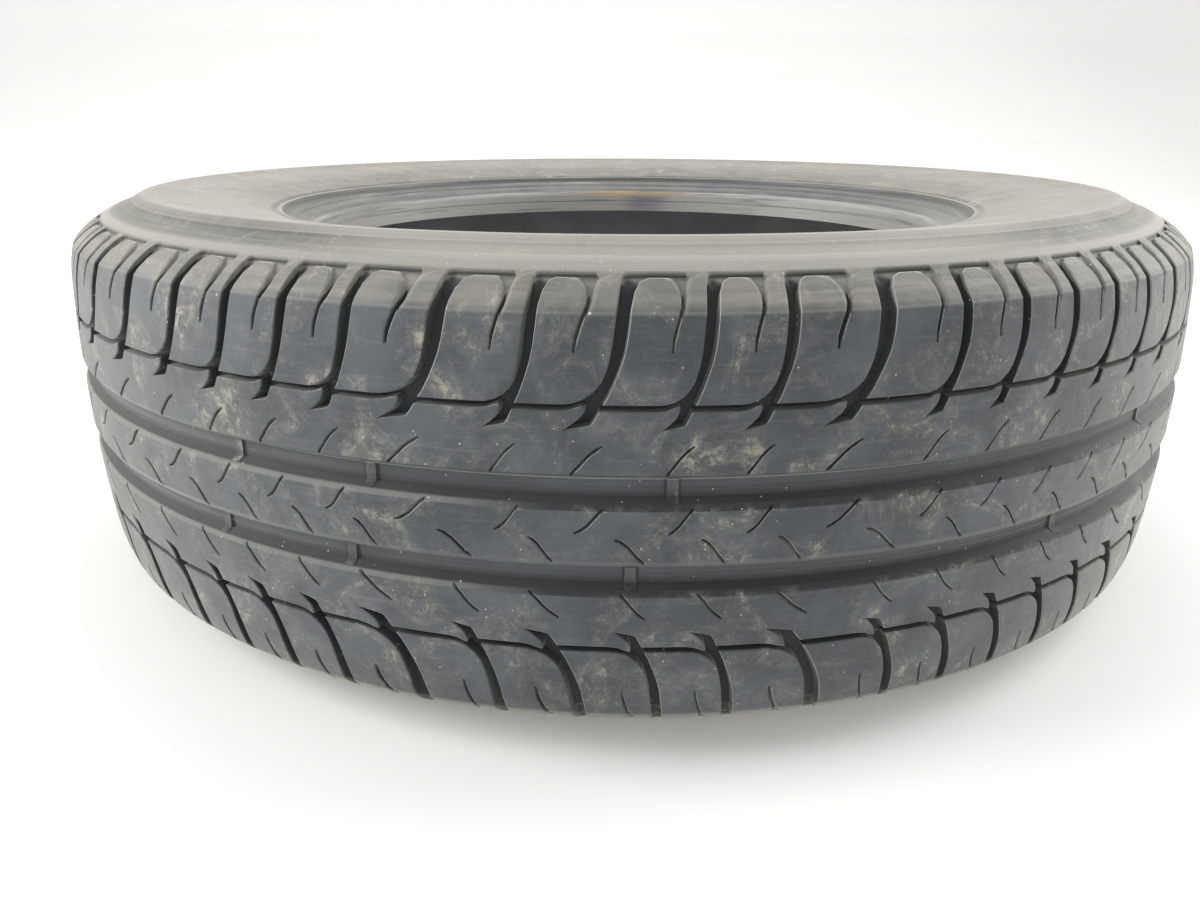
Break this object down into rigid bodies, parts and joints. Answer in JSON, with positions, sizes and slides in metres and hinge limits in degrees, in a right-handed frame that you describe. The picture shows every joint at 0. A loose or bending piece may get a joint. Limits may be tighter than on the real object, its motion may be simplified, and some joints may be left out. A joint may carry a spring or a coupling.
{
  "type": "worn car tyre",
  "caption": "Worn passenger-car tyre with two wide grooves round the tread, curved cross grooves on both shoulders, bare sidewalls and open beads, lying on its side.",
  "frame": {"origin": "centre of the lower sidewall's rest plane, on the tyre's turning axis", "axes": "+Z along the turning axis, up, from the sidewall it lies on to the other one; -Y is the side that the picture shows"},
  "size_m": [0.6296, 0.6298, 0.195],
  "materials": {
    "worn_rubber": "worn, dusty matte rubber"
  },
  "bodies": {
    "root": {"tyre": "worn_rubber"}
  },
  "joints": []
}
